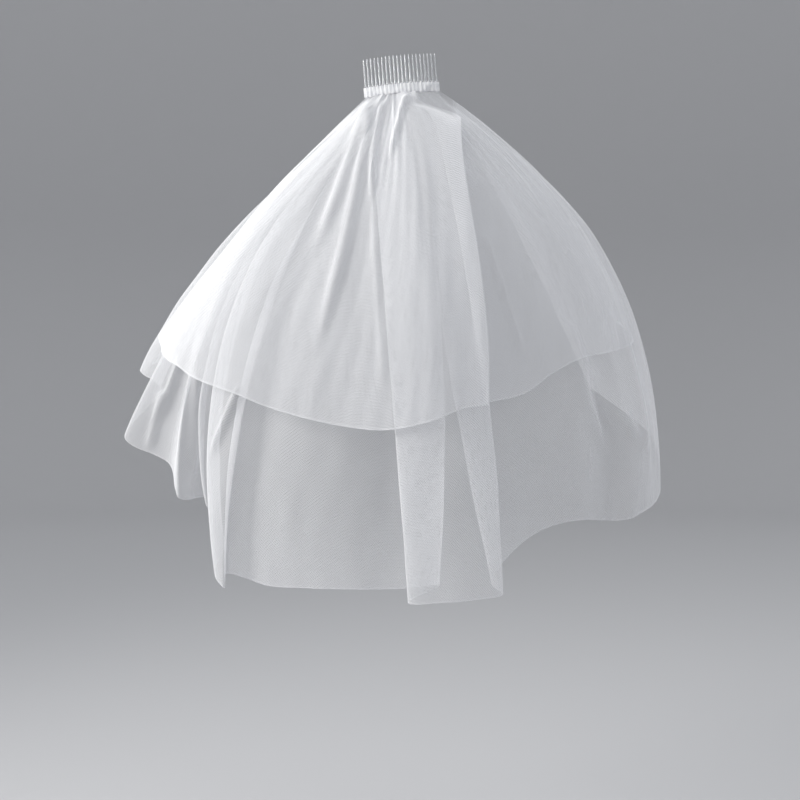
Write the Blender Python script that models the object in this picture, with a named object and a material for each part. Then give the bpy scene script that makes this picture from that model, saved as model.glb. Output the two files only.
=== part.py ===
"""A short two-tier tulle veil gathered on a clear comb, as it hangs when it is worn.

The comb's teeth point up, and the gathered tulle is bound over its spine. The upper tier is
the outer layer, and the lower tier hangs inside it and shows below it. The origin is the
middle of the comb's spine. +Z is up, +X is the right of the view from behind, and +Y points
to the wearer's front, so the back of the veil faces -Y.
"""
import math
from collections import namedtuple

import bpy
import numpy as np

COMB_WIDTH = 0.078
COMB_SAG = 0.008
COMB_ROLL = math.radians(5.0)
TEETH = 20
TOOTH_LENGTH = 0.030
TOOTH_ROOT = 0.0024
TOOTH_TIP = 0.0012
TOOTH_THINNING = 0.35
SPINE_HEIGHT = 0.005
SPINE_THICKNESS = 0.0022

BAND_HEIGHT = 0.0095
BAND_WALL = 0.0012
SEAT_GAP = 0.0003

WALL = 0.0010
HEAD_SPACING = 0.0034

UPPER_DROP = 0.360
LOWER_DROP = 0.530
SPREAD_WIDTH = 0.300
FORWARD_LENGTH = 0.250

FLARE_PEAK_SHARE = 0.10
GATHER_SHARE = 0.45
GATHER_WEIGHTS = tuple(math.comb(8, k) / 2 ** 8 for k in range(9))

# How a tooth narrows: its width at each rise, a share of TOOTH_LENGTH.
TOOTH_STEPS = ((0.55, (TOOTH_ROOT + TOOTH_TIP) / 2), (0.93, TOOTH_TIP), (1.0, TOOTH_TIP / 2))

LINES_PER_FOLD = 3
LOWER_ROWS = 18
UPPER_ROWS = 14
BAND_STEPS = 20

Fold = namedtuple("Fold", "name head flare mid_x mid_y mid_drop hem_x hem_y hem_drop")

# Each fold runs from the band through a point half way down to the hem. The head is a share
# of half the comb's width, the flare is how far the fold stands out sideways just under the
# band as a share of the comb's width, x is a share of SPREAD_WIDTH, y of FORWARD_LENGTH and
# drop of the tier's own drop. The folds go round from the front edge on the left to that on
# the right.
LOWER_FOLDS = (
    Fold("front edge left", -1.02, -0.25, -0.40, 0.57, 0.23, -0.70, 0.96, 0.47),
    Fold("front valley left", -0.89, 0.0, -0.53, 0.52, 0.23, -0.88, 0.98, 0.51),
    Fold("front lobe left", -0.82, 0.0, -0.67, 0.42, 0.28, -1.05, 0.82, 0.54),
    Fold("front hollow left", -0.75, 0.0, -0.60, 0.34, 0.30, -0.92, 0.64, 0.59),
    Fold("side lobe left", -0.69, 0.0, -0.65, 0.27, 0.33, -1.05, 0.48, 0.69),
    Fold("side hollow left", -0.63, 0.0, -0.58, 0.21, 0.35, -0.86, 0.42, 0.74),
    Fold("arm lobe left", -0.58, 0.0, -0.63, 0.15, 0.37, -0.80, 0.20, 0.81),
    Fold("arm slot left", -0.53, 0.0, -0.57, 0.14, 0.38, -0.72, 0.36, 0.81),
    Fold("arm ridge left", -0.48, 0.0, -0.61, 0.09, 0.40, -0.70, 0.20, 0.82),
    Fold("shoulder tuck left", -0.43, 0.0, -0.53, 0.08, 0.41, -0.57, 0.26, 0.89),
    Fold("shoulder edge left", -0.38, 0.0, -0.64, -0.01, 0.42, -0.66, 0.04, 0.94),
    Fold("shoulder fold left", -0.32, 0.0, -0.46, -0.13, 0.44, -0.59, -0.06, 0.97),
    Fold("shoulder return left", -0.26, 0.0, -0.51, 0.02, 0.44, -0.585, 0.08, 0.95),
    Fold("back left", -0.20, 0.0, -0.36, -0.09, 0.45, -0.46, -0.02, 0.97),
    Fold("back blade left", -0.13, 0.0, -0.25, -0.15, 0.46, -0.33, -0.08, 0.97),
    Fold("back middle", -0.06, 0.0, -0.12, -0.16, 0.47, -0.17, -0.12, 0.97),
    Fold("behind pleat left", 0.00, 0.0, 0.02, -0.12, 0.47, -0.01, -0.11, 0.97),
    Fold("pleat inner left", 0.07, 0.0, 0.155, -0.16, 0.47, 0.135, -0.14, 0.96),
    Fold("pleat outer left", 0.14, -0.2, -0.055, -0.28, 0.48, 0.01, -0.27, 0.985),
    Fold("pleat front", 0.24, 0.0, 0.09, -0.33, 0.48, 0.17, -0.31, 0.98),
    Fold("pleat outer right", 0.34, 0.2, 0.25, -0.27, 0.48, 0.335, -0.26, 0.97),
    Fold("pleat inner right", 0.41, 0.0, 0.17, -0.21, 0.46, 0.29, -0.16, 0.95),
    Fold("back right", 0.47, 0.0, 0.34, -0.14, 0.43, 0.44, -0.06, 0.87),
    Fold("back blade right", 0.53, 0.0, 0.50, -0.07, 0.41, 0.60, 0.02, 0.845),
    Fold("shoulder tuck right", 0.58, 0.0, 0.56, 0.03, 0.40, 0.71, 0.12, 0.85),
    Fold("shoulder fold right", 0.63, 0.0, 0.63, 0.0, 0.39, 0.79, 0.06, 0.845),
    Fold("shoulder edge right", 0.68, 0.0, 0.68, 0.06, 0.37, 0.86, 0.13, 0.83),
    Fold("arm slot right", 0.73, 0.0, 0.66, 0.14, 0.35, 0.82, 0.28, 0.81),
    Fold("arm lobe right", 0.79, 0.0, 0.74, 0.20, 0.32, 0.94, 0.35, 0.80),
    Fold("side hollow right", 0.83, 0.0, 0.68, 0.30, 0.30, 0.90, 0.54, 0.71),
    Fold("front lobe right", 0.90, 0.0, 0.64, 0.41, 0.28, 0.97, 0.74, 0.64),
    Fold("front edge right", 1.02, 0.25, 0.44, 0.54, 0.25, 0.76, 0.92, 0.56),
)

UPPER_FOLDS = (
    Fold("edge left", -1.00, 0.0, -0.60, 0.24, 0.33, -0.90, 0.40, 0.70),
    Fold("side lobe left", -0.90, 0.0, -0.57, 0.12, 0.37, -0.85, 0.22, 0.77),
    Fold("side hollow left", -0.80, 0.0, -0.53, 0.04, 0.40, -0.78, 0.08, 0.80),
    Fold("shoulder left", -0.70, 0.0, -0.50, -0.05, 0.41, -0.70, -0.04, 0.84),
    Fold("armpit left", -0.60, 0.0, -0.40, -0.13, 0.44, -0.56, -0.14, 0.88),
    Fold("blade left", -0.50, 0.0, -0.30, -0.17, 0.46, -0.44, -0.18, 0.92),
    Fold("blade hollow left", -0.40, 0.0, -0.21, -0.22, 0.48, -0.31, -0.24, 0.95),
    Fold("back left", -0.30, 0.0, -0.13, -0.24, 0.49, -0.19, -0.28, 0.97),
    Fold("back middle", -0.20, 0.0, -0.07, -0.27, 0.49, -0.07, -0.35, 0.98),
    Fold("pleat edge left", -0.09, 0.0, 0.0, -0.31, 0.50, 0.02, -0.39, 0.97),
    Fold("pleat left", 0.03, 0.0, 0.07, -0.33, 0.49, 0.11, -0.41, 0.95),
    Fold("pleat right", 0.15, 0.0, 0.15, -0.31, 0.48, 0.20, -0.39, 0.92),
    Fold("pleat edge right", 0.27, 0.2, 0.23, -0.27, 0.47, 0.30, -0.35, 0.92),
    Fold("back right", 0.39, 0.1, 0.29, -0.21, 0.46, 0.39, -0.24, 0.91),
    Fold("blade right", 0.50, 0.0, 0.37, -0.16, 0.44, 0.50, -0.18, 0.87),
    Fold("armpit right", 0.61, 0.0, 0.46, -0.11, 0.41, 0.62, -0.12, 0.80),
    Fold("shoulder right", 0.71, 0.0, 0.53, -0.05, 0.38, 0.74, -0.04, 0.77),
    Fold("side hollow right", 0.81, 0.0, 0.57, 0.02, 0.35, 0.82, 0.04, 0.73),
    Fold("side lobe right", 0.91, 0.0, 0.61, 0.09, 0.32, 0.88, 0.15, 0.69),
    Fold("edge right", 1.00, 0.0, 0.63, 0.16, 0.30, 0.91, 0.24, 0.65),
)


def clear_scene():
    """Remove every object that the file opens with."""
    for item in list(bpy.data.objects):
        bpy.data.objects.remove(item, do_unlink=True)


def material(name, colour, roughness, alpha=1.0, transmission=0.0):
    """Return a plain Principled material."""
    made = bpy.data.materials.new(name)
    made.use_nodes = True
    shader = made.node_tree.nodes["Principled BSDF"]
    shader.inputs["Base Color"].default_value = (*colour, 1.0)
    shader.inputs["Roughness"].default_value = roughness
    shader.inputs["Metallic"].default_value = 0.0
    shader.inputs["Alpha"].default_value = alpha
    shader.inputs["Transmission Weight"].default_value = transmission
    return made


def mesh_object(name, points, faces, finish):
    """Make a named object from an array of points and a list of faces."""
    mesh = bpy.data.meshes.new(name)
    mesh.from_pydata(np.asarray(points).tolist(), [], faces)
    mesh.materials.append(finish)
    made = bpy.data.objects.new(name, mesh)
    bpy.context.collection.objects.link(made)
    mesh.shade_smooth()
    return made


def on_comb(flat):
    """Bend flat points (x across, y through, z up) round the comb's arc, then roll them.

    The arc bulges towards the back of the veil, COMB_SAG at the middle of the comb's width.
    """
    flat = np.asarray(flat, dtype=float)
    radius = (COMB_WIDTH / 2) ** 2 / (2 * COMB_SAG) + COMB_SAG / 2
    angle = flat[..., 0] / radius
    out = radius - flat[..., 1]
    x = out * np.sin(angle)
    y = radius - out * np.cos(angle)
    z = flat[..., 2]
    turned_x = x * math.cos(COMB_ROLL) - z * math.sin(COMB_ROLL)
    turned_z = x * math.sin(COMB_ROLL) + z * math.cos(COMB_ROLL)
    return np.stack([turned_x, y, turned_z], axis=-1)


def build_comb(finish):
    """A row of stations across the spine, with a column of faces up each tooth."""
    pitch = (COMB_WIDTH - TOOTH_ROOT) / (TEETH - 1)
    bottom = -SPINE_HEIGHT / 2
    top = SPINE_HEIGHT / 2
    front = SPINE_THICKNESS / 2
    points = []
    faces = []

    def place(x, z, thickness_share):
        """Add the back and the front point of one place, and return the first one's index."""
        points.append((x, -front * thickness_share, z))
        points.append((x, front * thickness_share, z))
        return len(points) - 2

    stations = []
    for tooth in range(TEETH):
        centre = (tooth - (TEETH - 1) / 2) * pitch
        for side in (-0.5, 0.5):
            x = centre + side * TOOTH_ROOT
            stations.append((place(x, bottom, 1.0), place(x, top, 1.0)))

    def panel(a, b, c, d):
        """Add the back and front faces of a patch with corners in order round it."""
        faces.append((a, b, c, d))
        faces.append((d + 1, c + 1, b + 1, a + 1))

    def rim(a, b):
        """Add the face through the thickness along the edge from a to b."""
        faces.append((b, a, a + 1, b + 1))

    for left, right in zip(stations, stations[1:]):
        panel(left[0], right[0], right[1], left[1])
        rim(left[0], right[0])
    first, last = stations[0], stations[-1]
    rim(first[1], first[0])
    rim(last[0], last[1])

    for tooth in range(TEETH):
        left, right = stations[2 * tooth], stations[2 * tooth + 1]
        centre = (tooth - (TEETH - 1) / 2) * pitch
        low = (left[1], right[1])
        for rise, width in TOOTH_STEPS:
            z = top + TOOTH_LENGTH * rise
            share = 1.0 - TOOTH_THINNING * rise
            high = (place(centre - width / 2, z, share), place(centre + width / 2, z, share))
            panel(low[0], low[1], high[1], high[0])
            rim(high[0], low[0])
            rim(low[1], high[1])
            low = high
        rim(low[1], low[0])
        if tooth + 1 < TEETH:
            rim(stations[2 * tooth + 2][1], right[1])

    return mesh_object("comb", on_comb(points), faces, finish)


def band_section():
    """The band's open-topped channel, as points (y, z) round its outline."""
    inner = SPINE_THICKNESS / 2 + SEAT_GAP
    outer = inner + BAND_WALL
    slot_floor = -SPINE_HEIGHT / 2 - SEAT_GAP
    top = SPINE_HEIGHT / 2
    foot = top - BAND_HEIGHT
    bevel = BAND_WALL / 2
    return (
        (-outer, foot + bevel), (-outer + bevel, foot), (outer - bevel, foot),
        (outer, foot + bevel), (outer, top), (inner, top), (inner, slot_floor),
        (-inner, slot_floor), (-inner, top), (-outer, top),
    )


def build_band(finish):
    """The channel carried along the comb's arc, from end to end."""
    section = band_section()
    count = len(section)
    reach = COMB_WIDTH / 2 + BAND_WALL
    flat = [(x, y, z) for x in np.linspace(-reach, reach, BAND_STEPS + 1) for y, z in section]
    faces = []
    for step in range(BAND_STEPS):
        a = step * count
        b = a + count
        for k in range(count):
            n = (k + 1) % count
            faces.append((a + k, a + n, b + n, b + k))
    # An end is three flat strips, because the channel's outline isn't convex.
    last = BAND_STEPS * count
    for base, flip in ((0, True), (last, False)):
        for strip in ((0, 1, 2, 3, 6, 7), (3, 4, 5, 6), (7, 8, 9, 0)):
            ring = tuple(base + k for k in strip)
            faces.append(ring[::-1] if flip else ring)
    return mesh_object("heading_band", on_comb(flat), faces, finish)


def head_point(fold, depth):
    """Where a fold leaves the band: on the comb's arc, just under the band's foot."""
    foot = SPINE_HEIGHT / 2 - BAND_HEIGHT - SEAT_GAP - WALL / 2
    return on_comb((fold.head * COMB_WIDTH / 2, depth, foot))


def fold_path(fold, drop, depth, v):
    """A fold's line: the parabola through its head, mid and hem points, with its flare.

    With v from 0 at the band to 1 at the hem, the three points have the weights
    (1-v)(1-2v), 4v(1-v) and v(2v-1). The flare is widest at FLARE_PEAK_SHARE of the way, and
    has faded by half way.
    """
    head = head_point(fold, depth)
    mid = np.array((fold.mid_x * SPREAD_WIDTH, fold.mid_y * FORWARD_LENGTH, -fold.mid_drop * drop))
    hem = np.array((fold.hem_x * SPREAD_WIDTH, fold.hem_y * FORWARD_LENGTH, -fold.hem_drop * drop))
    v = v[:, None]
    path = head * (1 - v) * (1 - 2 * v) + mid * 4 * v * (1 - v) + hem * v * (2 * v - 1)
    swell = v / FLARE_PEAK_SHARE * np.exp(1 - v / FLARE_PEAK_SHARE)
    path[:, 0:1] += fold.flare * COMB_WIDTH * swell
    return path


def gathered(rows, v):
    """Draw neighbouring folds together towards the band, as stitched gathers do.

    Each path is blended with the binomial mean of the nine paths round it. The mean has its
    full weight at the band, and none from GATHER_SHARE of the way down.
    """
    reach = len(GATHER_WEIGHTS) // 2
    rows = np.asarray(rows)
    before = rows[0] + np.arange(-reach, 0)[:, None, None] * (rows[1] - rows[0])
    after = rows[-1] + np.arange(1, reach + 1)[:, None, None] * (rows[-1] - rows[-2])
    padded = np.concatenate([before, rows, after])
    mean = sum(weight * padded[k:k + len(rows)] for k, weight in enumerate(GATHER_WEIGHTS))
    share = np.clip(1.0 - v / GATHER_SHARE, 0.0, 1.0)[None, :, None]
    share = share * share * (3.0 - 2.0 * share)
    return rows + (mean - rows) * share


def across_folds(rows, lines):
    """Join the folds' paths into a surface with a smooth curve through them at each height.

    Between two folds it is a Catmull-Rom curve. Each line is then eased towards the mean of
    its two neighbours, which rounds the tightest folds.
    """
    padded = np.concatenate([2 * rows[:1] - rows[1:2], rows, 2 * rows[-1:] - rows[-2:-1]])
    out = []
    for k in range(len(rows) - 1):
        p0, p1, p2, p3 = padded[k:k + 4]
        for t in np.arange(lines) / lines:
            out.append(0.5 * (2 * p1 + (p2 - p0) * t + (2 * p0 - 5 * p1 + 4 * p2 - p3) * t ** 2
                              + (3 * p1 - p0 - 3 * p2 + p3) * t ** 3))
    out.append(rows[-1])
    sheet = np.array(out)
    sheet[1:-1] = (sheet[:-2] + 2 * sheet[1:-1] + sheet[2:]) / 4
    return sheet


def surface_normals(grid):
    """Unit normals of a grid of points, from its central differences."""
    across = np.gradient(grid, axis=0)
    down = np.gradient(grid, axis=1)
    normal = np.cross(across, down)
    return normal / np.linalg.norm(normal, axis=-1, keepdims=True)


def build_tier(name, folds, drop, depth, rows, finish):
    """A tier is one sheet with its wall's two faces half a wall either side of the middle."""
    v = np.linspace(0.0, 1.0, rows + 1)
    paths = gathered([fold_path(fold, drop, depth, v) for fold in folds], v)
    middle = across_folds(paths, LINES_PER_FOLD)
    offset = surface_normals(middle) * WALL / 2
    outer = middle - offset
    inner = middle + offset
    wide, tall = middle.shape[:2]
    points = np.concatenate([outer.reshape(-1, 3), inner.reshape(-1, 3)])
    second = wide * tall
    faces = []
    for i in range(wide - 1):
        for j in range(tall - 1):
            a = i * tall + j
            b = a + tall
            faces.append((a, a + 1, b + 1))
            faces.append((a, b + 1, b))
            faces.append((second + a, second + b + 1, second + a + 1))
            faces.append((second + a, second + b, second + b + 1))
    for i in range(wide - 1):
        a = i * tall
        b = a + tall
        faces.append((a, b, second + b, second + a))
        faces.append((a + tall - 1, second + a + tall - 1, second + b + tall - 1, b + tall - 1))
    last = (wide - 1) * tall
    for j in range(tall - 1):
        faces.append((j, second + j, second + j + 1, j + 1))
        faces.append((last + j, last + j + 1, second + last + j + 1, second + last + j))
    return mesh_object(name, points, faces, finish)


clear_scene()
clear_plastic = material("clear plastic", (0.92, 0.93, 0.93), 0.12, transmission=0.9)
binding = material("white binding", (0.93, 0.93, 0.94), 0.75)
tulle = material("white tulle", (0.93, 0.93, 0.95), 0.8, alpha=0.4)

build_comb(clear_plastic)
build_band(binding)
build_tier("upper_tier", UPPER_FOLDS, UPPER_DROP, -HEAD_SPACING / 2, UPPER_ROWS, tulle)
build_tier("lower_tier", LOWER_FOLDS, LOWER_DROP, HEAD_SPACING / 2, LOWER_ROWS, tulle)
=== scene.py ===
"""The short two-tier veil in its finishes, seen from behind as it is worn.

Tulle is a net of fine threads. Each tier is one sheet of it, drawn into gathers at a white
binding that is whipped over the spine of a clear comb. Lengths are in metres, in the frame of
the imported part: the middle of the comb's spine is the origin, +Z is up and the back of the
veil faces -Y.
"""
import math
from collections import namedtuple

import bpy
import numpy as np
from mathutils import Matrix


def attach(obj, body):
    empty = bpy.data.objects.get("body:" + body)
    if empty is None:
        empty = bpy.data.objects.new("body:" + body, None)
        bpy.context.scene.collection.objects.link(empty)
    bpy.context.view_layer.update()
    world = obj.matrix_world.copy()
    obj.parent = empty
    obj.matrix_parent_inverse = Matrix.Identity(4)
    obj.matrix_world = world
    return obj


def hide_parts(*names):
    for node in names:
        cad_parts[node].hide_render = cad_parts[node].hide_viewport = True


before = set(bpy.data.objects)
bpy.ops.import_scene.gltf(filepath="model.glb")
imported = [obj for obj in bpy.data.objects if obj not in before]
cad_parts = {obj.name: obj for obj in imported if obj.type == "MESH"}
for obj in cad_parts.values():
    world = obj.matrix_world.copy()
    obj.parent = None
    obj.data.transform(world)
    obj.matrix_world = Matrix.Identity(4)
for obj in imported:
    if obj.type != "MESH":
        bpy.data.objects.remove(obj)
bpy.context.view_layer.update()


# The comb is moulded in clear plastic: a thin curved spine with tapered teeth, rounded at their
# tips. It is pushed up into the hair and carries the whole veil.
COMB_WIDTH = 0.078
COMB_SAG = 0.008
COMB_ROLL = math.radians(5.0)
TEETH = 20
TOOTH_LENGTH = 0.030
TOOTH_ROOT = 0.0024
TOOTH_TIP = 0.0012
SPINE_HEIGHT = 0.005
SPINE_THICKNESS = 0.0022
TOOTH_PITCH = (COMB_WIDTH - TOOTH_ROOT) / (TEETH - 1)
TOOTH_SIDES = 10
TOOTH_ROWS = 26
TOOTH_SINK = 0.0004
POINT_START = 0.9
FILLET_SHARE = 0.245
FILLET_FALL = 28
DEPTH_AT_ROOT = 0.92
DEPTH_LOST = 0.42
SPINE_STEPS = 90
SPINE_SIDES = 16
SPINE_END = 40
SPINE_CORNER = 5
CLEAR_PLASTIC_COLOUR = (0.86, 0.88, 0.90)
PLASTIC_CLEARNESS = 0.82
PLASTIC_INDEX = 1.49
FLOW_SCALE = 420
HAZE_LEAST = 0.06
HAZE_MOST = 0.22


def on_comb(flat):
    """Bend flat points (x across, y through, z up) round the comb's arc, then roll them."""
    flat = np.asarray(flat, dtype=float)
    radius = (COMB_WIDTH / 2) ** 2 / (2 * COMB_SAG) + COMB_SAG / 2
    angle = flat[..., 0] / radius
    out = radius - flat[..., 1]
    x = out * np.sin(angle)
    y = radius - out * np.cos(angle)
    z = flat[..., 2]
    turned_x = x * math.cos(COMB_ROLL) - z * math.sin(COMB_ROLL)
    turned_z = x * math.sin(COMB_ROLL) + z * math.cos(COMB_ROLL)
    return np.stack([turned_x, y, turned_z], axis=-1)


def grid_faces(rows, columns, wrap=False, start=0):
    """Quads of a grid stored row by row. With wrap, the last column joins the first."""
    across = np.arange(columns if wrap else columns - 1)
    i, j = np.meshgrid(np.arange(rows - 1), across, indexing="ij")
    k = (j + 1) % columns
    here = i * columns
    below = (i + 1) * columns
    quads = np.stack([here + j, below + j, below + k, here + k], axis=-1)
    return quads.reshape(-1, 4) + start


def new_piece(name, points, faces, finish):
    """Make a smooth-shaded mesh object that rides on the veil."""
    mesh = bpy.data.meshes.new(name)
    mesh.from_pydata(np.asarray(points).reshape(-1, 3).tolist(), [], [list(face) for face in faces])
    mesh.materials.append(finish)
    mesh.shade_smooth()
    piece = bpy.data.objects.new(name, mesh)
    bpy.context.scene.collection.objects.link(piece)
    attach(piece, "root")
    return piece


def closed_tubes(rings, start=0):
    """Faces of tubes with closed ends. rings is an array of tubes by rows by sides by xyz."""
    tubes, rows, sides = rings.shape[:3]
    faces = []
    for tube in range(tubes):
        base = start + tube * rows * sides
        faces += grid_faces(rows, sides, wrap=True, start=base).tolist()
        faces.append(list(range(base, base + sides)))
        faces.append(list(range(base + (rows - 1) * sides, base + rows * sides))[::-1])
    return faces


def tooth_rings():
    """Every tooth as rings: an ellipse whose half widths are functions of the height t.

    The width falls evenly from root to tip, with a small fillet where it leaves the spine and a
    rounded point that closes over the last tenth.
    """
    t = np.linspace(0.0, 1.0, TOOTH_ROWS)
    fillet = FILLET_SHARE * TOOTH_ROOT * np.exp(-t * FILLET_FALL)
    past = ((t - POINT_START) / (1 - POINT_START)).clip(0)
    point = np.sqrt(np.clip(1 - past ** 2, 0.0025, 1))
    half_width = (TOOTH_ROOT / 2 + (TOOTH_TIP - TOOTH_ROOT) / 2 * t + fillet) * point
    half_depth = SPINE_THICKNESS / 2 * (DEPTH_AT_ROOT - DEPTH_LOST * t) * point
    height = SPINE_HEIGHT / 2 - TOOTH_SINK + (TOOTH_LENGTH + TOOTH_SINK) * t
    turn = np.arange(TOOTH_SIDES) / TOOTH_SIDES * 2 * np.pi
    middle = (np.arange(TEETH) - (TEETH - 1) / 2) * TOOTH_PITCH
    shape = (TEETH, TOOTH_ROWS, TOOTH_SIDES)
    x = middle[:, None, None] + half_width[None, :, None] * np.cos(turn)
    y = np.broadcast_to(half_depth[None, :, None] * np.sin(turn), shape)
    z = np.broadcast_to(height[None, :, None], shape)
    return on_comb(np.stack([x, y, z], axis=-1))


def spine_rings():
    """The spine as rings: a rounded bar whose section shrinks to nothing at its two ends."""
    x = np.linspace(-1, 1, SPINE_STEPS)
    close = np.clip(1 - np.abs(x) ** SPINE_END, 0.02, 1) ** 0.5
    turn = np.arange(SPINE_SIDES) / SPINE_SIDES * 2 * np.pi
    cosine = np.abs(np.cos(turn)) ** SPINE_CORNER
    sine = np.abs(np.sin(turn)) ** SPINE_CORNER
    corner = (cosine + sine) ** (-1 / SPINE_CORNER)
    y = SPINE_THICKNESS / 2 * np.sin(turn) * corner
    z = SPINE_HEIGHT / 2 * np.cos(turn) * corner
    flat = np.stack([
        np.broadcast_to(x[:, None] * COMB_WIDTH / 2, (SPINE_STEPS, SPINE_SIDES)),
        y[None, :] * close[:, None],
        z[None, :] * close[:, None],
    ], axis=-1)
    return on_comb(flat)[None]


def new_finish(name):
    """A material with nodes, as the material, its node tree and its Principled shader."""
    finish = bpy.data.materials.new(name)
    finish.use_nodes = True
    return finish, finish.node_tree, finish.node_tree.nodes["Principled BSDF"]


def add_noise(tree, vector, scale, detail=2):
    """A noise texture that reads the given vector."""
    noise = tree.nodes.new("ShaderNodeTexNoise")
    noise.inputs["Scale"].default_value = scale
    noise.inputs["Detail"].default_value = detail
    tree.links.new(vector, noise.inputs["Vector"])
    return noise


def add_bump(tree, shader, height, strength, distance):
    """Turn a height into the shader's normal."""
    bump = tree.nodes.new("ShaderNodeBump")
    bump.inputs["Strength"].default_value = strength
    bump.inputs["Distance"].default_value = distance
    tree.links.new(height, bump.inputs["Height"])
    tree.links.new(bump.outputs["Normal"], shader.inputs["Normal"])


def clear_plastic():
    """Clear moulded plastic, faintly grey, with flow marks that ripple its gloss."""
    finish, tree, shader = new_finish("clear_plastic")
    shader.inputs["Base Color"].default_value = (*CLEAR_PLASTIC_COLOUR, 1)
    shader.inputs["Transmission Weight"].default_value = PLASTIC_CLEARNESS
    shader.inputs["IOR"].default_value = PLASTIC_INDEX
    place = tree.nodes.new("ShaderNodeTexCoord")
    flow = add_noise(tree, place.outputs["Object"], FLOW_SCALE)
    haze = tree.nodes.new("ShaderNodeMapRange")
    haze.inputs["To Min"].default_value = HAZE_LEAST
    haze.inputs["To Max"].default_value = HAZE_MOST
    tree.links.new(flow.outputs["Fac"], haze.inputs["Value"])
    tree.links.new(haze.outputs["Result"], shader.inputs["Roughness"])
    add_bump(tree, shader, flow.outputs["Fac"], 0.12, 0.0003)
    return finish


spine = spine_rings()
teeth = tooth_rings()
comb_points = np.concatenate([spine.reshape(-1, 3), teeth.reshape(-1, 3)])
comb_faces = closed_tubes(spine) + closed_tubes(teeth, start=spine.size // 3)
comb = new_piece("clear_comb", comb_points, comb_faces, clear_plastic())
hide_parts("comb")


# The binding is a narrow white ribbon folded up over the spine. Its lip is pulled down a little
# where each stitch passes between two teeth, and it puckers where the gathers are thickest.
BAND_HEIGHT = 0.0095
BAND_WALL = 0.0012
SEAT_GAP = 0.0003
BAND_STEPS = 320
LIP_DIP = 0.0007
PUCKER = 0.0004
KNOT_PLACE = 0.0272
KNOT_WIDTH = 0.0036
KNOT_RISE = 0.0016
KNOT_DROP = 0.001
KNOT_HEIGHT = 0.0026
BAND_END = 60
LIP_RISE = 0.0002
FOOT_ROUND = 0.0004
FOOT_SWAY = 0.0007
LONG_SWELL = 0.017
SHORT_SWELL = 0.0087
RIBBON_COLOUR = (0.95, 0.95, 0.96)
RIBBON_SHADE = (0.80, 0.81, 0.84)
RIBBON_WEAVE = 900
RIBBON_CLOUDS = 160


def rounded_loop(corners, times):
    """Cut the corners of a closed outline again and again, which rounds it."""
    loop = np.asarray(corners)
    for _ in range(times):
        following = np.roll(loop, -1, axis=0)
        near = 0.75 * loop + 0.25 * following
        far = 0.25 * loop + 0.75 * following
        loop = np.stack([near, far], axis=1).reshape(-1, 2)
    return loop


def binding_rings():
    """The ribbon's folded section carried along the comb.

    The section is a thick U, as (y, z). Along the comb it swells and dips with the cosine of
    the stitches' pitch, and swells again where the pleat's gathers are knotted off.
    """
    inner = SPINE_THICKNESS / 2 + SEAT_GAP * 0.3
    outer = inner + BAND_WALL
    top = SPINE_HEIGHT / 2 + LIP_RISE
    foot = SPINE_HEIGHT / 2 - BAND_HEIGHT
    slot_floor = -SPINE_HEIGHT / 2 - SEAT_GAP
    section = rounded_loop([
        (-outer, foot), (-outer * 0.3, foot - FOOT_ROUND), (outer * 0.3, foot - FOOT_ROUND), (outer, foot),
        (outer, (top + foot) / 2), (outer, top), (inner, top), (inner, slot_floor),
        (-inner, slot_floor), (-inner, top), (-outer, top), (-outer, (top + foot) / 2),
    ], 2)
    reach = COMB_WIDTH / 2 + BAND_WALL * 0.8
    x = np.linspace(-reach, reach, BAND_STEPS)
    wave = np.cos(2 * np.pi * x / TOOTH_PITCH)[:, None]
    drift = np.sin(2 * np.pi * x / LONG_SWELL + 0.8) * np.sin(2 * np.pi * x / SHORT_SWELL)
    drift = drift[:, None]
    knot = np.exp(-((x - KNOT_PLACE) / KNOT_WIDTH) ** 2)[:, None]
    y = section[:, 0][None, :]
    z = section[:, 1][None, :]
    upness = np.clip((z - foot) / BAND_HEIGHT, 0, 1)
    close = np.clip(1 - np.abs(x / reach) ** BAND_END, 0.03, 1)[:, None] ** 0.5
    y = y * close + np.sign(y) * (PUCKER * (wave * 0.6 + drift * 0.5)) * (np.abs(y) > inner * 1.05) * close
    y = y - KNOT_RISE * knot * (y < 0) * np.exp(-((z + KNOT_DROP) / KNOT_HEIGHT) ** 2)
    z = z - LIP_DIP * (0.5 - 0.5 * wave) * upness ** 4 - FOOT_SWAY * drift * (1 - upness) ** 2
    flat = np.stack([np.broadcast_to(x[:, None], y.shape), y, z], axis=-1)
    return on_comb(flat)[None]


def add_math(tree, operation, *values):
    """A Math node whose inputs are numbers or other nodes' outputs. Gives its output."""
    node = tree.nodes.new("ShaderNodeMath")
    node.operation = operation
    for socket, value in zip(node.inputs, values):
        if isinstance(value, (int, float)):
            socket.default_value = value
        else:
            tree.links.new(value, socket)
    return node.outputs[0]


def add_tones(tree, shader, value, dark_end, light_end):
    """Colour the shader by a value, between two ends that are each a place and a colour."""
    tone = tree.nodes.new("ShaderNodeValToRGB")
    for element, (place, colour) in zip(tone.color_ramp.elements, (dark_end, light_end)):
        element.position = place
        element.color = (*colour, 1)
    tree.links.new(value, tone.inputs["Fac"])
    tree.links.new(tone.outputs["Color"], shader.inputs["Base Color"])


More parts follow.
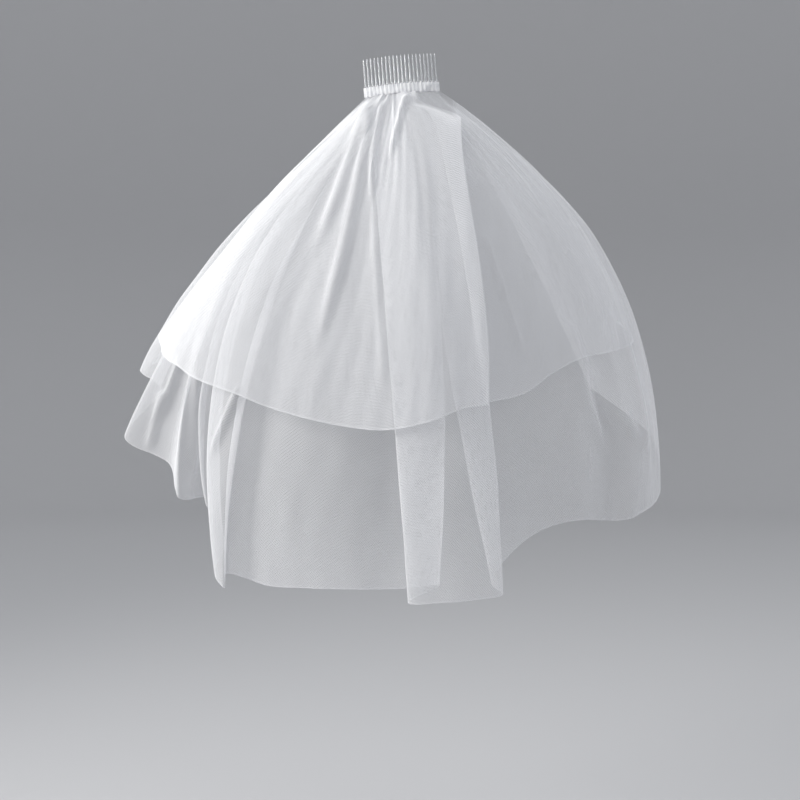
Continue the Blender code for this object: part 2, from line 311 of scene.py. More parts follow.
def ribbon_white():
    """Fine matt ribbon: crossed threads in the bump, and a white that clouds to pale grey."""
    finish, tree, shader = new_finish("white_binding")
    shader.inputs["Roughness"].default_value = 0.82
    shader.inputs["Sheen Weight"].default_value = 0.25
    place = tree.nodes.new("ShaderNodeTexCoord")
    threads = []
    for axis in ("X", "Z"):
        wave = tree.nodes.new("ShaderNodeTexWave")
        wave.bands_direction = axis
        wave.inputs["Scale"].default_value = RIBBON_WEAVE
        wave.inputs["Distortion"].default_value = 0.6
        tree.links.new(place.outputs["Object"], wave.inputs["Vector"])
        threads.append(wave.outputs["Fac"])
    add_bump(tree, shader, add_math(tree, "MULTIPLY", *threads), 0.5, 0.0002)
    cloud = add_noise(tree, place.outputs["Object"], RIBBON_CLOUDS)
    add_tones(tree, shader, cloud.outputs["Fac"], (0.3, RIBBON_SHADE), (0.62, RIBBON_COLOUR))
    return finish


binding_white = ribbon_white()
band = binding_rings()
binding = new_piece("ribbon_binding", band, closed_tubes(band), binding_white)
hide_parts("heading_band")


# White cotton thread whips the ribbon to the comb: one slanting loop in each gap between two
# teeth, over the spine and down both faces of the ribbon.
THREAD_RADIUS = 0.00034
STITCH_SIDES = 6
STITCH_ROWS = 30
STITCH_DROP = 0.0036
STITCH_SLANT = 0.0013
STITCH_STAND = 0.0003
STITCH_CROWN = 0.0005
STITCH_TUCK = 0.0005
STITCH_JITTER = 0.0003


def stitch_rings():
    """Each loop is an arch in the plane across the comb, carried by a round section.

    Its path goes up the back face, over the spine as half an ellipse and down the front face,
    and slants along the comb by STITCH_SLANT.
    """
    t = np.linspace(-1, 1, STITCH_ROWS)
    gaps = (np.arange(TEETH - 1) - (TEETH - 2) / 2) * TOOTH_PITCH
    half = SPINE_THICKNESS / 2 + BAND_WALL + STITCH_STAND
    arch = np.clip(np.abs(t) * 2, 0, 1)
    y = np.sign(t) * np.where(arch < 1, half * np.sin(arch * np.pi / 2), half)
    crown = SPINE_HEIGHT / 2 + LIP_RISE
    over = crown + STITCH_CROWN * np.cos(arch * np.pi / 2)
    down = crown - STITCH_DROP * (np.abs(t) * 2 - 1)
    z = np.where(arch < 1, over, down)
    y = y - np.sign(y) * STITCH_TUCK * np.clip((np.abs(t) - 0.85) / 0.15, 0, 1) ** 2
    jitter = STITCH_JITTER * np.sin(np.arange(TEETH - 1) * 2.4)[:, None]
    x = gaps[:, None] + jitter + STITCH_SLANT / 2 * t[None, :]
    line = np.stack([x, np.broadcast_to(y, x.shape), np.broadcast_to(z, x.shape)], axis=-1)
    along = np.gradient(line, axis=1)
    along /= np.linalg.norm(along, axis=-1, keepdims=True)
    side = np.cross(along, np.cross(along, (1.0, 0.0, 0.0)))
    side /= np.linalg.norm(side, axis=-1, keepdims=True)
    up = np.cross(along, side)
    turn = np.arange(STITCH_SIDES) / STITCH_SIDES * 2 * np.pi
    ring = side[:, :, None] * np.cos(turn)[:, None] + up[:, :, None] * np.sin(turn)[:, None]
    return on_comb(line[:, :, None] + ring * THREAD_RADIUS)


stitches = stitch_rings()
thread = new_piece("whip_stitches", stitches, closed_tubes(stitches), binding_white)


# The tulle is a six-sided net of fine white thread. The eye sees through its holes, and less so
# where the sheet turns edge on or where gathers crowd many threads together.
NET_PITCH = 0.0016
THREAD_SHARE = 0.17
THREAD_COVER = 0.90
HOLE_COVER = 0.16
NET_DRIFT = 0.0011
DRIFT_SCALE = 240
LEAST_COSINE = 0.09
CLOUD_SCALE = 9
CLOUD_SHADE = 0.955
TULLE_COLOUR = (0.93, 0.935, 0.955)


def add_vector_math(tree, operation, *values):
    """A Vector Math node whose inputs are tuples or other nodes' outputs. Gives its output."""
    node = tree.nodes.new("ShaderNodeVectorMath")
    node.operation = operation
    for socket, value in zip(node.inputs, values):
        if isinstance(value, tuple):
            socket.default_value = value
        else:
            tree.links.new(value, socket)
    return node.outputs[0]


def net_group():
    """A node group: UV in metres goes in, and a mask comes out, 1 on thread and 0 in a hole.

    Two square grids of points, half a step apart, make the six-sided cells. The distance from
    the nearer point, measured across a cell's flat sides, is largest on the thread.
    """
    group = bpy.data.node_groups.new("tulle net", "ShaderNodeTree")
    group.interface.new_socket("UV", in_out="INPUT", socket_type="NodeSocketVector")
    group.interface.new_socket("Pitch", in_out="INPUT", socket_type="NodeSocketFloat")
    group.interface.new_socket("Thread", in_out="INPUT", socket_type="NodeSocketFloat")
    group.interface.new_socket("Mask", in_out="OUTPUT", socket_type="NodeSocketFloat")
    given = group.nodes.new("NodeGroupInput")
    result = group.nodes.new("NodeGroupOutput")
    half = (0.5, math.sqrt(3.0) / 2, 0.5)
    inverse = add_math(group, "DIVIDE", 1.0, given.outputs["Pitch"])
    scaled = add_vector_math(group, "SCALE", given.outputs["UV"])
    group.links.new(inverse, scaled.node.inputs["Scale"])
    cells = []
    for shift in ((0.0, 0.0, 0.0), half):
        moved = add_vector_math(group, "ADD", scaled, shift)
        wrapped = add_vector_math(group, "WRAP", moved, half, tuple(-h for h in half))
        apart = add_vector_math(group, "ABSOLUTE", wrapped)
        parts = group.nodes.new("ShaderNodeSeparateXYZ")
        group.links.new(apart, parts.inputs[0])
        across = add_math(group, "MULTIPLY", parts.outputs["X"], 0.5)
        along = add_math(group, "MULTIPLY", parts.outputs["Y"], math.sqrt(3.0) / 2)
        slanted = add_math(group, "ADD", across, along)
        cells.append(add_math(group, "MAXIMUM", parts.outputs["X"], slanted))
    edge = add_math(group, "SUBTRACT", 0.5, add_math(group, "MINIMUM", *cells))
    ramp = group.nodes.new("ShaderNodeMapRange")
    ramp.interpolation_type = "SMOOTHSTEP"
    group.links.new(edge, ramp.inputs["Value"])
    ramp.inputs["From Min"].default_value = 0.0
    group.links.new(given.outputs["Thread"], ramp.inputs["From Max"])
    ramp.inputs["To Min"].default_value = 1.0
    ramp.inputs["To Max"].default_value = 0.0
    group.links.new(ramp.outputs["Result"], result.inputs["Mask"])
    return group


def tulle(name, colour):
    """Sheer net: how much it covers is worked out for each point.

    The net's cells are pulled a little out of line by noise, as limp net's are. A point
    covers 1 - (1 - c) ** (fullness / cosine): c is the cover of thread or hole, the
    fullness is how many times over the gathers lay the cloth, and the cosine is that of the
    angle at which it is seen, so folds seen edge on turn white.
    """
    finish, tree, shader = new_finish(name)
    shader.inputs["Roughness"].default_value = 0.7
    shader.inputs["Sheen Weight"].default_value = 0.3
    shader.inputs["Sheen Roughness"].default_value = 0.4
    shader.inputs["Specular IOR Level"].default_value = 0.25

    flat = tree.nodes.new("ShaderNodeUVMap")
    flat.uv_map = "cloth"
    net = tree.nodes.new("ShaderNodeGroup")
    net.node_tree = net_group_made
    net.inputs["Pitch"].default_value = NET_PITCH
    net.inputs["Thread"].default_value = THREAD_SHARE
    drift = add_noise(tree, flat.outputs["UV"], DRIFT_SCALE)
    pulled = add_vector_math(tree, "MULTIPLY_ADD", drift.outputs["Color"],
                             (NET_DRIFT, NET_DRIFT, 0.0), flat.outputs["UV"])
    tree.links.new(pulled, net.inputs["UV"])
    cover = add_math(tree, "MULTIPLY_ADD", net.outputs["Mask"], THREAD_COVER - HOLE_COVER, HOLE_COVER)
    fullness = tree.nodes.new("ShaderNodeAttribute")
    fullness.attribute_name = "fullness"
    view = tree.nodes.new("ShaderNodeLayerWeight")
    view.inputs["Blend"].default_value = 0.5
    facing = add_math(tree, "SUBTRACT", 1.0, view.outputs["Facing"])
    cosine = add_math(tree, "MAXIMUM", facing, LEAST_COSINE)
    power = add_math(tree, "DIVIDE", fullness.outputs["Fac"], cosine)
    clear = add_math(tree, "POWER", add_math(tree, "SUBTRACT", 1.0, cover), power)
    tree.links.new(add_math(tree, "SUBTRACT", 1.0, clear), shader.inputs["Alpha"])

    cloud = add_noise(tree, flat.outputs["UV"], CLOUD_SCALE, 4)
    shade = tuple(CLOUD_SHADE * part for part in colour)
    add_tones(tree, shader, cloud.outputs["Fac"], (0.3, shade), (0.7, colour))
    add_bump(tree, shader, net.outputs["Mask"], 0.35, 0.0003)
    return finish


net_group_made = net_group()
white_tulle = tulle("white_tulle", TULLE_COLOUR)


# The lower tier is the long inner sheet. It falls from the band in a wide cape whose side folds
# swing forward, with a broad box pleat down the back and loose lobes at both sides.
HEAD_SPACING = 0.0034
WALL = 0.0010
LOWER_DROP = 0.530
SPREAD = 0.300
FORWARD = 0.250
GATHER_REACH = 0.45
GATHER_WEIGHTS = tuple(math.comb(8, k) / 2 ** 8 for k in range(9))
PLEAT_LIFT = 0.0015
FLARE_START = 0.035
FLARE_FULL = 0.095
FLARE_FADE = 0.22
LINES_PER_FOLD = 3
FINE_LINES = 5
PLEAT_PLACE = 0.62
CALM_SIDE = 0.4
VALLEY_SHARE = 0.75
GATHER_FADE = 1.6
RIPPLE_WAVES = 7
RIPPLE_HEIGHT = 0.0004
CREASE_RISE = 0.12
CREASE_FALL = 0.3
HEM_ROWS = 12
EVENING_ROUNDS = 8
LEAST_FULLNESS = 0.8
FULLEST = 9.0
FULLNESS_POWER = 0.3
EDGE_WIDTH = 0.0028
EDGE_FULLNESS = 1.7
SWAG_FROM = 0.010
SWAG_TO = 0.057
SWAG_TOP = -0.022
SWAG_FALL = 0.018
SWAG_EASE = 0.003
SWAG_LINE = 0.0014
SWAG_SHEER = 0.3
SWAG_DOUBLE = 1.0
LOWER_ROWS = 190
LOWER_FLAT_WIDTH = 1.50

Fold = namedtuple("Fold", "name head flare crisp mid_x mid_y mid_drop hem_x hem_y hem_drop")

# Each fold runs from the band through a point half way down to the hem. The head is a share
# of half the comb's width, and the flare is how far the fold stands out sideways just under
# the band as a share of the comb's width. A crisp fold, up to 1, keeps its own path where the
# others are drawn together. x is a share of SPREAD, y of FORWARD and drop of the tier's own
# drop. The folds go round from the front edge on the left to that on the right.
LOWER_FOLDS = (
    Fold("front edge left", -1.02, -0.15, 0.0, -0.40, 0.57, 0.23, -0.70, 0.96, 0.47),
    Fold("front valley left", -0.89, 0.0, 0.0, -0.53, 0.52, 0.23, -0.88, 0.98, 0.51),
    Fold("front lobe left", -0.82, 0.0, 0.0, -0.67, 0.42, 0.28, -1.05, 0.82, 0.54),
    Fold("front hollow left", -0.75, 0.0, 0.0, -0.60, 0.34, 0.30, -0.92, 0.64, 0.59),
    Fold("side lobe left", -0.69, 0.0, 0.0, -0.65, 0.27, 0.33, -1.05, 0.48, 0.69),
    Fold("side hollow left", -0.63, 0.0, 0.0, -0.58, 0.21, 0.35, -0.86, 0.42, 0.74),
    Fold("arm lobe left", -0.58, 0.0, 0.0, -0.63, 0.15, 0.37, -0.80, 0.20, 0.81),
    Fold("arm slot left", -0.53, 0.0, 0.0, -0.57, 0.14, 0.38, -0.72, 0.36, 0.81),
    Fold("arm ridge left", -0.48, 0.0, 0.0, -0.61, 0.09, 0.40, -0.70, 0.20, 0.82),
    Fold("shoulder tuck left", -0.43, 0.0, 0.0, -0.53, 0.08, 0.41, -0.63, 0.24, 0.90),
    Fold("shoulder edge left", -0.38, 0.0, 0.0, -0.575, -0.02, 0.42, -0.65, 0.03, 0.945),
    Fold("shoulder fold left", -0.32, 0.0, 0.0, -0.435, -0.12, 0.44, -0.60, -0.04, 0.975),
    Fold("shoulder return left", -0.26, 0.0, 0.0, -0.49, 0.02, 0.44, -0.61, 0.08, 0.95),
    Fold("back left", -0.20, 0.0, 0.0, -0.36, -0.09, 0.45, -0.46, -0.02, 0.97),
    Fold("back blade left", -0.13, 0.0, 0.0, -0.25, -0.15, 0.46, -0.33, -0.08, 0.97),
    Fold("back middle", -0.06, 0.0, 0.0, -0.12, -0.16, 0.47, -0.17, -0.12, 0.97),
    Fold("behind pleat left", 0.00, 0.0, 0.0, 0.02, -0.12, 0.47, -0.01, -0.11, 0.97),
    Fold("pleat inner left", 0.07, 0.0, 0.6, 0.141, -0.15, 0.47, 0.138, -0.14, 0.96),
    Fold("pleat outer left", -0.84, -0.04, 1.0, -0.055, -0.28, 0.48, 0.01, -0.27, 0.985),
    Fold("pleat front", -0.10, 0.04, 1.0, 0.09, -0.33, 0.48, 0.17, -0.31, 0.98),
    Fold("pleat outer right", 0.30, 0.48, 1.0, 0.25, -0.27, 0.48, 0.335, -0.26, 0.97),
    Fold("pleat inner right", 0.41, 0.0, 0.6, 0.117, -0.22, 0.46, 0.292, -0.16, 0.95),
    Fold("back right", 0.47, 0.0, 0.0, 0.34, -0.14, 0.43, 0.44, -0.06, 0.87),
    Fold("back blade right", 0.53, 0.0, 0.0, 0.50, -0.07, 0.41, 0.60, 0.02, 0.845),
    Fold("shoulder tuck right", 0.58, 0.0, 0.0, 0.56, 0.03, 0.40, 0.71, 0.12, 0.85),
    Fold("shoulder fold right", 0.63, 0.0, 0.0, 0.63, 0.0, 0.39, 0.79, 0.06, 0.845),
    Fold("shoulder edge right", 0.68, 0.0, 0.0, 0.68, 0.06, 0.37, 0.86, 0.13, 0.83),
    Fold("arm slot right", 0.73, 0.0, 0.0, 0.70, 0.13, 0.35, 0.91, 0.24, 0.82),
    Fold("arm lobe right", 0.79, 0.0, 0.0, 0.73, 0.20, 0.32, 0.95, 0.36, 0.80),
    Fold("side hollow right", 0.83, 0.0, 0.0, 0.71, 0.29, 0.30, 0.97, 0.52, 0.74),
    Fold("front lobe right", 0.90, 0.0, 0.0, 0.64, 0.41, 0.29, 0.97, 0.74, 0.68),
    Fold("front edge right", 1.02, 0.10, 0.0, 0.44, 0.54, 0.255, 0.76, 0.92, 0.58),
)


def fold_path(fold, drop, depth, v):
    """A fold's line: the parabola through its head, mid and hem points, with its flare.

    With v from 0 at the band to 1 at the hem, the three points have the weights
    (1-v)(1-2v), 4v(1-v) and v(2v-1). The flare starts a little below the band, is full at
    FLARE_FULL, and then dies away as exp(-v / FLARE_FADE).
    """
    foot = SPINE_HEIGHT / 2 - BAND_HEIGHT - SEAT_GAP - WALL / 2
    head = on_comb((fold.head * COMB_WIDTH / 2, depth - fold.crisp * PLEAT_LIFT, foot))
    mid = np.array((fold.mid_x * SPREAD, fold.mid_y * FORWARD, -fold.mid_drop * drop))
    hem = np.array((fold.hem_x * SPREAD, fold.hem_y * FORWARD, -fold.hem_drop * drop))
    v = v[:, None]
    path = head * (1 - v) * (1 - 2 * v) + mid * 4 * v * (1 - v) + hem * v * (2 * v - 1)
    rise = np.clip((v - FLARE_START) / (FLARE_FULL - FLARE_START), 0, 1)
    fade = np.exp(-np.clip(v - FLARE_FULL, 0, 1) / FLARE_FADE)
    path[:, 0:1] += fold.flare * COMB_WIDTH * rise ** 2 * (3 - 2 * rise) * fade
    return path


def gathered(rows, crisp, v):
    """Draw neighbouring folds together towards the band, as stitched gathers do.

    Each path is blended with the binomial mean of the nine paths round it. The mean has its
    full weight at the band, and none from GATHER_REACH down or where the fold is crisp.
    """
    reach = len(GATHER_WEIGHTS) // 2
    rows = np.asarray(rows)
    before = rows[0] + np.arange(-reach, 0)[:, None, None] * (rows[1] - rows[0])
    after = rows[-1] + np.arange(1, reach + 1)[:, None, None] * (rows[-1] - rows[-2])
    padded = np.concatenate([before, rows, after])
    mean = sum(weight * padded[k:k + len(rows)] for k, weight in enumerate(GATHER_WEIGHTS))
    share = np.clip(1.0 - v / GATHER_REACH, 0.0, 1.0)[None, :, None]
    share = share * share * (3.0 - 2.0 * share) * (1.0 - np.asarray(crisp))[:, None, None]
    return rows + (mean - rows) * share


def curve_across(rows, lines):
    """Catmull-Rom curves through the rows, with that many lines from each row to the next."""
    padded = np.concatenate([2 * rows[:1] - rows[1:2], rows, 2 * rows[-1:] - rows[-2:-1]])
    p0, p1, p2, p3 = (padded[k:len(rows) - 1 + k, None] for k in range(4))
    t = (np.arange(lines) / lines)[None, :, None, None]
    between = 0.5 * (2 * p1 + (p2 - p0) * t + (2 * p0 - 5 * p1 + 4 * p2 - p3) * t ** 2
                     + (3 * p1 - p0 - 3 * p2 + p3) * t ** 3)
    return np.concatenate([between.reshape(-1, *rows.shape[1:]), rows[-1:]])


def draped(folds, drop, depth, rows):
    """A tier's smooth surface, as columns by rows by xyz: its folds' paths joined across."""
    v = np.linspace(0.0, 1.0, rows)
    crisp = [fold.crisp for fold in folds]
    paths = gathered([fold_path(fold, drop, depth, v) for fold in folds], crisp, v)
    sheet = curve_across(paths, LINES_PER_FOLD)
    sheet[1:-1] = (sheet[:-2] + 4 * sheet[1:-1] + sheet[2:]) / 6
    return curve_across(sheet, FINE_LINES)


def surface_normals(grid):
    """Unit normals of a grid of points, from its central differences, facing away from it."""
    across = np.gradient(grid, axis=0)
    down = np.gradient(grid, axis=1)
    normal = np.cross(down, across)
    return normal / np.linalg.norm(normal, axis=-1, keepdims=True)


def gathers(columns, rows, count, seed, height, width, reach):
    """Soft ridges that run down from the band, summed, as heights in metres.

    Each ridge is a bell across the sheet times a fade down it: it starts at full height at the
    band and dies away as exp(-(v / its own reach) ** 1.6). Height, width and reach are each a
    (least, most) pair, and the seed fixes the draw. Right of the pleat the ridges are lower.
    """
    draw = np.random.default_rng(seed)
    u = np.linspace(0, 1, columns)[:, None]
    v = np.linspace(0, 1, rows)[None, :]
    centre = (np.arange(count) + 0.5 + draw.uniform(-0.35, 0.35, count)) / count
    tall = draw.uniform(*height, count) * np.where(np.arange(count) % 2, 1.0, -VALLEY_SHARE)
    tall = tall * np.where(centre > PLEAT_PLACE, CALM_SIDE, 1.0)
    wide = draw.uniform(*width, count) / count
    far = draw.uniform(*reach, count)
    bells = np.exp(-((u - centre[None, :]) / wide[None, :]) ** 2) * tall[None, :]
    fades = np.exp(-(v / far[:, None]) ** GATHER_FADE)
    return bells @ fades


def ripples(columns, rows, seed, waves, height):
    """Small unevenness of limp net: a few long sine waves at random slants, as heights."""
    draw = np.random.default_rng(seed)
    u = np.linspace(0, 1, columns)[:, None]
    v = np.linspace(0, 1, rows)[None, :]
    total = np.zeros((columns, rows))
    for _ in range(waves):
        across = draw.uniform(8, 46)
        down = draw.uniform(-5, 7)
        phase = draw.uniform(0, 2 * np.pi)
        total += np.sin(2 * np.pi * (across * u + down * v) + phase)
    return total * height / math.sqrt(waves) * np.clip(v * 5, 0, 1)


Crease = namedtuple("Crease", "name top_x top_z mid_x mid_z end_x end_z height width")


def creased(grid, creases):
    """Raise narrow ridges along given lines on the back of a sheet.

    A line is the parabola x(z) through its top, middle and end points. A ridge's height is a
    bell across the line, and it rises and falls smoothly near the line's two ends.
    """
    normal = surface_normals(grid)
    x, z = grid[..., 0], grid[..., 2]
    relief = np.zeros(x.shape)
    for crease in creases:
        t = (crease.top_z - z) / (crease.top_z - crease.end_z)
        m = (crease.top_z - crease.mid_z) / (crease.top_z - crease.end_z)
        line = (crease.top_x * (1 - t) * (m - t) / m + crease.mid_x * t * (1 - t) / (m * (1 - m))
                + crease.end_x * t * (t - m) / (1 - m))
        bell = np.exp(-((x - line) / crease.width) ** 2)
        ends = np.clip(t / CREASE_RISE, 0, 1) * np.clip((1 - t) / CREASE_FALL, 0, 1)
        relief += crease.height * bell * ends ** 2 * (3 - 2 * ends) * (normal[..., 1] < 0.2)
    return grid + normal * relief[..., None]


def relieved(grid, gather_sets, seed, creases):
    """Raise a sheet's gathers, its ripples by their seed, and its creases."""
    columns, rows = grid.shape[:2]
    relief = sum(gathers(columns, rows, *given) for given in gather_sets)
    relief = relief + ripples(columns, rows, seed, RIPPLE_WAVES, RIPPLE_HEIGHT)
    return creased(grid + surface_normals(grid) * relief[..., None], creases)


def swag(grid):
    """How full the cloth is beside the pinch: sheer over the swag, double on its line, else 1.

    The line falls from the pinch to the pleat's corner as SWAG_FALL * s ** 1.5, with s from 0
    to 1 between the two, and a bell across the line makes it double.
    """
    x, z = grid[..., 0], grid[..., 2]
    s = (x - SWAG_FROM) / (SWAG_TO - SWAG_FROM)
    line = SWAG_TOP - SWAG_FALL * np.clip(s, 0, 1) ** 1.5
    inside = np.clip(s / 0.15, 0, 1) * np.clip((1.0 - s) / 0.1, 0, 1)
    over = inside * np.clip((z - line) / SWAG_EASE, 0, 1)
    bell = inside * np.exp(-((z - line) / SWAG_LINE) ** 2)
    return (1 - (1 - SWAG_SHEER) * over) * (1 + SWAG_DOUBLE * bell)


def sheet_piece(name, grid, flat_width, finish):
    """Make a tier: its mesh, its UV map in flat metres, and how full its gathers are.

    The flat width is shared out as the hem's own lengths are. A point's fullness is the flat
    width of its stretch of cloth over the width that it takes up there, drawn towards 1 by a
    power. A cut edge curls on itself, so it is EDGE_FULLNESS times as full.
    """
    columns, rows = grid.shape[:2]
    piece = new_piece(name, grid, grid_faces(columns, rows)[:, ::-1], finish)
    across = np.linalg.norm(np.diff(grid, axis=0), axis=-1)
    down = np.linalg.norm(np.diff(grid, axis=1), axis=-1)
    hem = across[:, -HEM_ROWS:].mean(axis=1)
    hem = np.maximum(hem, hem.mean() * 0.5)
    share = hem / hem.sum() * flat_width
    flat_u = np.concatenate([[0.0], np.cumsum(share)])
    flat_v = np.concatenate([np.zeros((columns, 1)), np.cumsum(down, axis=1)], axis=1)
    uv = np.stack([np.broadcast_to(flat_u[:, None], flat_v.shape), flat_v], axis=-1).reshape(-1, 2)
    layer = piece.data.uv_layers.new(name="cloth")
    corner = np.zeros(len(piece.data.loops), dtype=np.int32)
    piece.data.loops.foreach_get("vertex_index", corner)
    layer.data.foreach_set("uv", uv[corner].astype(np.float32).ravel())
    full = share[:, None] / across
    full = np.concatenate([full[:1], (full[:-1] + full[1:]) / 2, full[-1:]])
    for _ in range(EVENING_ROUNDS):
        full[1:-1] = (full[:-2] + 2 * full[1:-1] + full[2:]) / 4
    full = np.clip(full, LEAST_FULLNESS, FULLEST) ** FULLNESS_POWER
    full *= swag(grid)
    full[:, -max(1, round(EDGE_WIDTH / down.mean())):] *= EDGE_FULLNESS
    kept = piece.data.attributes.new("fullness", "FLOAT", "POINT")
    kept.data.foreach_set("value", full.astype(np.float32).ravel())
    return piece


# The lines that show on the lower tier's back, where single folds hang free below the upper one.
LOWER_CREASES = (
    Crease("right hanging fold", 0.165, -0.235, 0.208, -0.318, 0.262, -0.385, 0.007, 0.0120),
    Crease("right branch", 0.160, -0.245, 0.190, -0.325, 0.222, -0.400, 0.005, 0.0080),
    Crease("side line right", 0.222, -0.235, 0.243, -0.305, 0.258, -0.390, 0.007, 0.0050),
    Crease("lobe line left", -0.232, -0.255, -0.252, -0.305, -0.270, -0.350, 0.008, 0.0050),
    Crease("lobe branch left", -0.262, -0.310, -0.272, -0.345, -0.284, -0.385, 0.007, 0.0045),
    Crease("slot line left", -0.214, -0.250, -0.222, -0.330, -0.228, -0.420, 0.007, 0.0045),
    Crease("panel line left", -0.160, -0.305, -0.178, -0.345, -0.196, -0.385, 0.006, 0.0040),
)

# A set of gathers is how many, the seed, and the least and most of their height, width and reach.
LOWER_GATHERS = (
    (30, 11, (0.0008, 0.0020), (0.35, 0.6), (0.03, 0.09)),
    (9, 12, (0.001, 0.0025), (0.35, 0.5), (0.2, 0.6)),
)

lower_grid = draped(LOWER_FOLDS, LOWER_DROP, HEAD_SPACING / 2, LOWER_ROWS)
lower_grid = relieved(lower_grid, LOWER_GATHERS, 13, LOWER_CREASES)
lower_tier = sheet_piece("lower_tier_tulle", lower_grid, LOWER_FLAT_WIDTH, white_tulle)
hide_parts("lower_tier")


# The upper tier is the short outer sheet, from the same net. It lies over the lower one and its
# hem crosses the back in one shallow curve.
UPPER_DROP = 0.360
UPPER_ROWS = 260
UPPER_FLAT_WIDTH = 0.80

UPPER_FOLDS = (
    Fold("edge left", -1.00, 0.0, 0.0, -0.52, 0.24, 0.33, -0.90, 0.40, 0.70),
    Fold("side lobe left", -0.90, 0.0, 0.0, -0.54, 0.12, 0.37, -0.85, 0.22, 0.77),
    Fold("side hollow left", -0.80, 0.0, 0.0, -0.53, 0.04, 0.40, -0.78, 0.08, 0.80),
    Fold("shoulder left", -0.70, 0.0, 0.0, -0.50, -0.05, 0.41, -0.70, -0.04, 0.84),
    Fold("armpit left", -0.60, 0.0, 0.0, -0.40, -0.13, 0.44, -0.56, -0.14, 0.88),
    Fold("blade left", -0.50, 0.0, 0.0, -0.30, -0.17, 0.46, -0.44, -0.18, 0.92),
    Fold("blade hollow left", -0.40, 0.0, 0.0, -0.21, -0.22, 0.48, -0.31, -0.24, 0.95),
    Fold("back left", -0.30, 0.0, 0.0, -0.13, -0.24, 0.49, -0.19, -0.28, 0.97),
    Fold("back middle", -0.20, 0.0, 0.0, -0.07, -0.27, 0.49, -0.07, -0.35, 0.98),
    Fold("pleat edge left", -0.26, 0.0, 0.6, 0.0, -0.31, 0.50, 0.02, -0.39, 0.97),
    Fold("pleat left", -0.08, 0.0, 0.8, 0.07, -0.33, 0.49, 0.11, -0.41, 0.95),
    Fold("pleat right", 0.12, 0.0, 1.0, 0.15, -0.31, 0.48, 0.20, -0.39, 0.92),
    Fold("pleat edge right", 0.29, 0.48, 1.0, 0.23, -0.30, 0.47, 0.283, -0.36, 0.912),
    Fold("pleat tuck right", 0.34, 0.05, 0.7, 0.18, -0.22, 0.46, 0.245, -0.26, 0.91),
    Fold("back right", 0.42, 0.0, 0.2, 0.31, -0.18, 0.46, 0.40, -0.20, 0.885),
    Fold("blade right", 0.50, 0.0, 0.0, 0.37, -0.16, 0.43, 0.50, -0.17, 0.825),
    Fold("armpit right", 0.61, 0.0, 0.0, 0.455, -0.11, 0.40, 0.61, -0.11, 0.78),
    Fold("shoulder right", 0.71, 0.0, 0.0, 0.51, -0.05, 0.38, 0.70, -0.03, 0.765),
    Fold("side hollow right", 0.81, 0.0, 0.0, 0.545, 0.02, 0.35, 0.765, 0.05, 0.75),
    Fold("side lobe right", 0.91, 0.0, 0.0, 0.565, 0.09, 0.33, 0.81, 0.14, 0.735),
    Fold("edge right", 1.00, 0.0, 0.0, 0.57, 0.16, 0.31, 0.84, 0.23, 0.71),
)

# The lines that run down the upper tier's back from the gathers, and one free crease on the right.
UPPER_CREASES = (
    Crease("long fold left", -0.030, -0.012, -0.052, -0.150, -0.087, -0.290, 0.0060, 0.0060),
    Crease("short fold left", -0.033, -0.010, -0.052, -0.080, -0.086, -0.180, 0.0050, 0.0060),
    Crease("pleat line left", -0.033, -0.014, -0.026, -0.157, -0.014, -0.345, 0.0022, 0.0042),
    Crease("pinched fold", 0.006, -0.008, -0.002, -0.040, -0.011, -0.085, 0.0050, 0.0030),
    Crease("fold beside the pleat", -0.018, -0.012, -0.026, -0.060, -0.028, -0.130, 0.0040, 0.0030),
    Crease("free crease right", 0.082, -0.155, 0.103, -0.225, 0.126, -0.295, 0.0040, 0.0026),
)

UPPER_GATHERS = (
    (22, 21, (0.0010, 0.0024), (0.35, 0.6), (0.04, 0.11)),
    (6, 22, (0.001, 0.0022), (0.35, 0.5), (0.3, 0.8)),
)

upper_grid = draped(UPPER_FOLDS, UPPER_DROP, -HEAD_SPACING / 2, UPPER_ROWS)
upper_grid = relieved(upper_grid, UPPER_GATHERS, 23, UPPER_CREASES)
upper_tier = sheet_piece("upper_tier_tulle", upper_grid, UPPER_FLAT_WIDTH, white_tulle)
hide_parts("upper_tier")


# The stage is one pale sheet of matt paper, made as a turned surface: a level floor that curves
# up into a round wall, so that no corner or edge shows from any side.
FLOOR_DEPTH = 0.80
FLOOR_REACH = 4.2
COVE = 1.4
WALL_TOP = 3.0
STAGE_TURNS = 96
STAGE_COLOUR = (0.58, 0.58, 0.59)


def stage_rings():
    """A profile turned about the Z axis: level, then a quarter circle, then upright."""
    level = np.linspace(0.001, FLOOR_REACH, 24)
    bend = np.linspace(0, np.pi / 2, 24)[1:]
    rise = np.linspace(COVE, WALL_TOP, 12)[1:]
    wall = np.full(len(rise), FLOOR_REACH + COVE)
    radius = np.concatenate([level, FLOOR_REACH + COVE * np.sin(bend), wall])
    height = np.concatenate([np.zeros(len(level)), COVE * (1 - np.cos(bend)), rise]) - FLOOR_DEPTH
    turn = np.arange(STAGE_TURNS) / STAGE_TURNS * 2 * np.pi
    x = radius[:, None] * np.cos(turn)
    y = radius[:, None] * np.sin(turn)
    return np.stack([x, y, np.broadcast_to(height[:, None], x.shape)], axis=-1)


def stage_paper():
    """Matt pale paper, with no gloss at all."""
    finish, _, shader = new_finish("stage_paper")
    shader.inputs["Base Color"].default_value = (*STAGE_COLOUR, 1)
    shader.inputs["Roughness"].default_value = 1.0
    shader.inputs["Specular IOR Level"].default_value = 0.0
    return finish


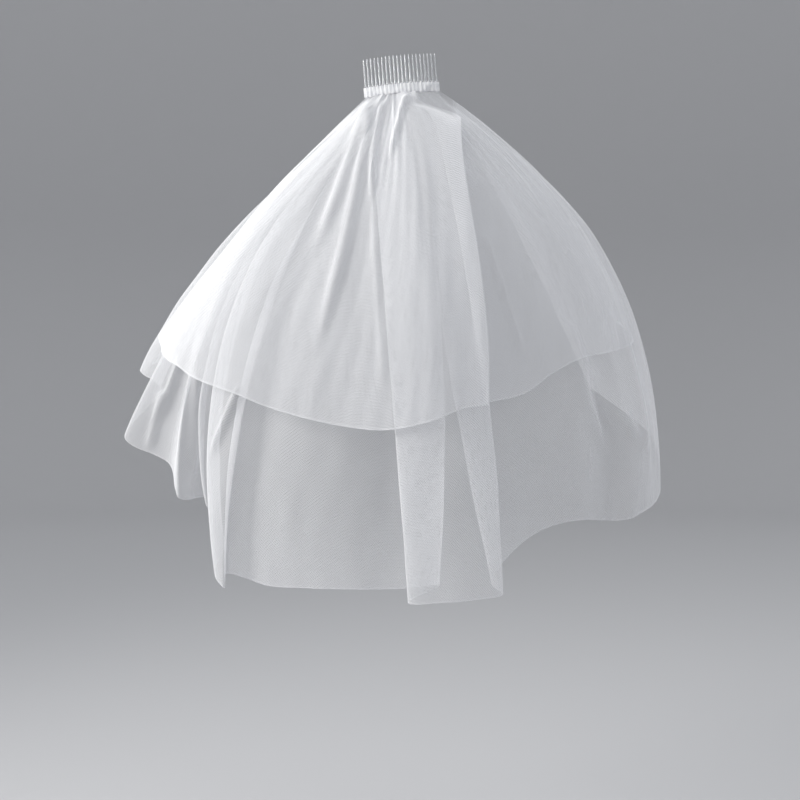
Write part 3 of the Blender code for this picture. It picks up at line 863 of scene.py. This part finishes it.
rings = stage_rings()
stage_faces = grid_faces(len(rings), STAGE_TURNS, wrap=True).tolist()
stage_mesh = bpy.data.meshes.new("stage")
stage_mesh.from_pydata(rings.reshape(-1, 3).tolist(), [], stage_faces)
stage_mesh.materials.append(stage_paper())
stage_mesh.shade_smooth()
stage = bpy.data.objects.new("stage", stage_mesh)
bpy.context.scene.collection.objects.link(stage)


# Light comes softly from the left, with a weak fill from the right and a little from above. Each
# lamp is a square panel that shines in a limited beam, and the pale air lights the rest.
AIM = (0.0, 0.0, -0.25)
AIR_COLOUR = (0.95, 0.97, 1.0)
AIR_STRENGTH = 0.72

Panel = namedtuple("Panel", "name place size spread watts colour")

# The size is a side in metres, and the spread the beam's full angle in degrees.
PANELS = (
    Panel("window", (-1.75, -0.75, 0.45), 1.0, 80, 7.3, (1.0, 0.99, 0.97)),
    Panel("fill", (1.5, -1.3, 0.4), 1.4, 120, 3, (0.94, 0.96, 1.0)),
    Panel("top", (-0.7, 0.3, 1.5), 1.4, 120, 3.5, (1.0, 1.0, 1.0)),
)


def soft_light(panel):
    """A square area light at the panel's place, turned to AIM."""
    data = bpy.data.lights.new(panel.name, "AREA")
    data.size = panel.size
    data.spread = math.radians(panel.spread)
    data.energy = panel.watts
    data.color = panel.colour
    lamp = bpy.data.objects.new(panel.name, data)
    bpy.context.scene.collection.objects.link(lamp)
    lamp.location = panel.place
    toward = np.array(AIM) - np.array(panel.place)
    yaw = math.atan2(toward[1], toward[0]) - math.pi / 2
    pitch = math.atan2(toward[2], math.hypot(toward[0], toward[1])) + math.pi / 2
    lamp.rotation_euler = (pitch, 0.0, yaw)


for panel in PANELS:
    soft_light(panel)

world = bpy.data.worlds.new("studio air")
world.use_nodes = True
air = world.node_tree.nodes["Background"]
air.inputs["Color"].default_value = (*AIR_COLOUR, 1)
air.inputs["Strength"].default_value = AIR_STRENGTH
bpy.context.scene.world = world


# The camera stands level behind the veil, at the height of the middle of the picture. Light may
# pass through SHEER_LAYERS layers of net, so that no deep stack of folds turns black.
CAMERA_PLACE = (-0.0015, -1.300, -0.3234)
CAMERA_LENS = 56.8
SENSOR_WIDTH = 36
SHEER_LAYERS = 48

camera_data = bpy.data.cameras.new("camera")
camera_data.lens = CAMERA_LENS
camera_data.sensor_width = SENSOR_WIDTH
camera = bpy.data.objects.new("camera", camera_data)
bpy.context.scene.collection.objects.link(camera)
camera.location = CAMERA_PLACE
camera.rotation_euler = (math.pi / 2, 0, 0)
bpy.context.scene.camera = camera
bpy.context.scene.cycles.transparent_max_bounces = SHEER_LAYERS
bpy.context.scene.view_settings.view_transform = "Standard"
